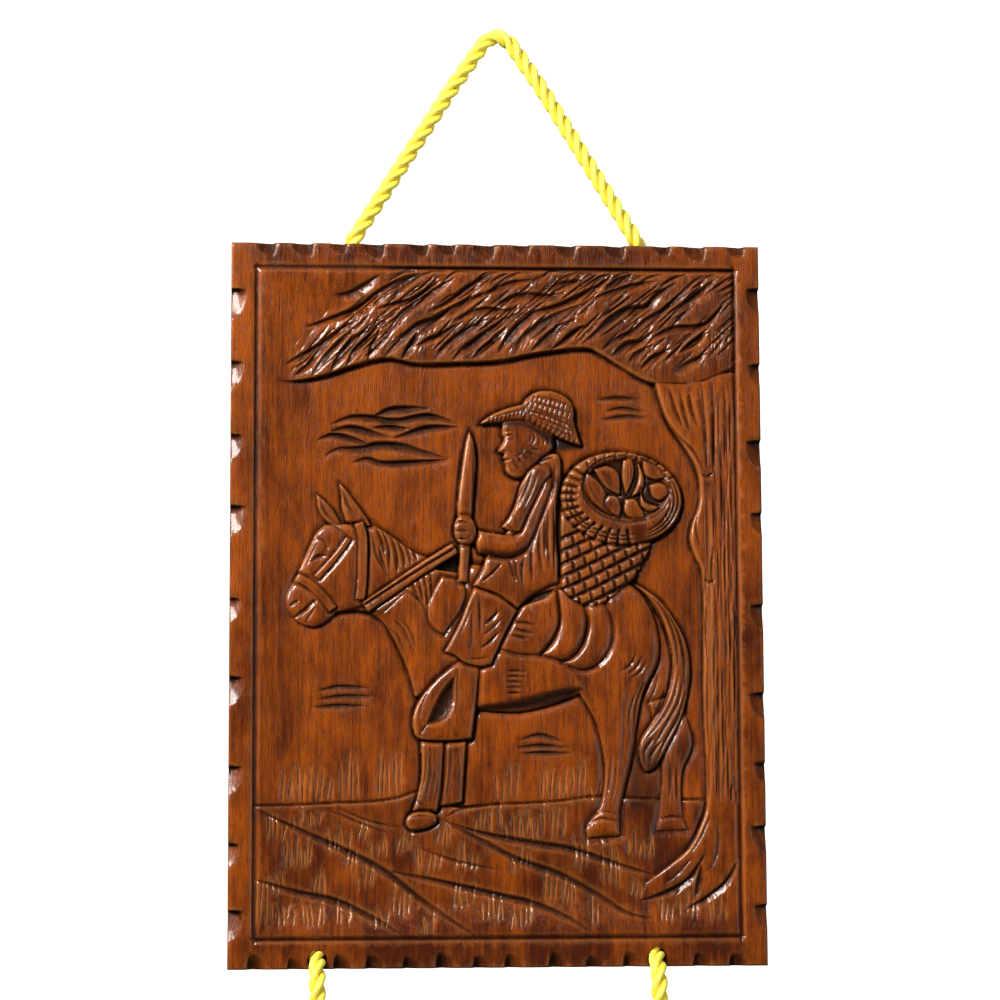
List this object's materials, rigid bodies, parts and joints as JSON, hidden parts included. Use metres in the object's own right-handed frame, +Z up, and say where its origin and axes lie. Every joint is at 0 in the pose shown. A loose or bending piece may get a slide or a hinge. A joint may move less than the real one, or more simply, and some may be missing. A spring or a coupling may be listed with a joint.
{
  "type": "carved wall panel",
  "caption": "Hardwood wall panel carved in low relief with a rider, a pack animal and a tree, hung by a rope loop over a nail, with ropes below for a further piece.",
  "frame": {"origin": "where the hanging rope bears on its nail, in the plane of the board's flat back", "axes": "+Z up, +X to the right as seen from the front, +Y towards the wall, so the carving faces -Y"},
  "size_m": [0.254, 0.0604, 0.4945],
  "materials": {
    "carved_wood": "glossy varnish over reddish brown stained hardwood, near black in the cuts",
    "yellow_rope": "laid plastic fibre rope, bright yellow, satin"
  },
  "bodies": {
    "root": {"carved_panel": "carved_wood", "hanging_rope": "yellow_rope", "top_knot_left": "yellow_rope", "top_knot_right": "yellow_rope", "lower_rope_left": "yellow_rope", "back_knot_left": "yellow_rope", "end_knot_left": "yellow_rope", "lower_rope_right": "yellow_rope", "back_knot_right": "yellow_rope", "end_knot_right": "yellow_rope"}
  },
  "joints": []
}
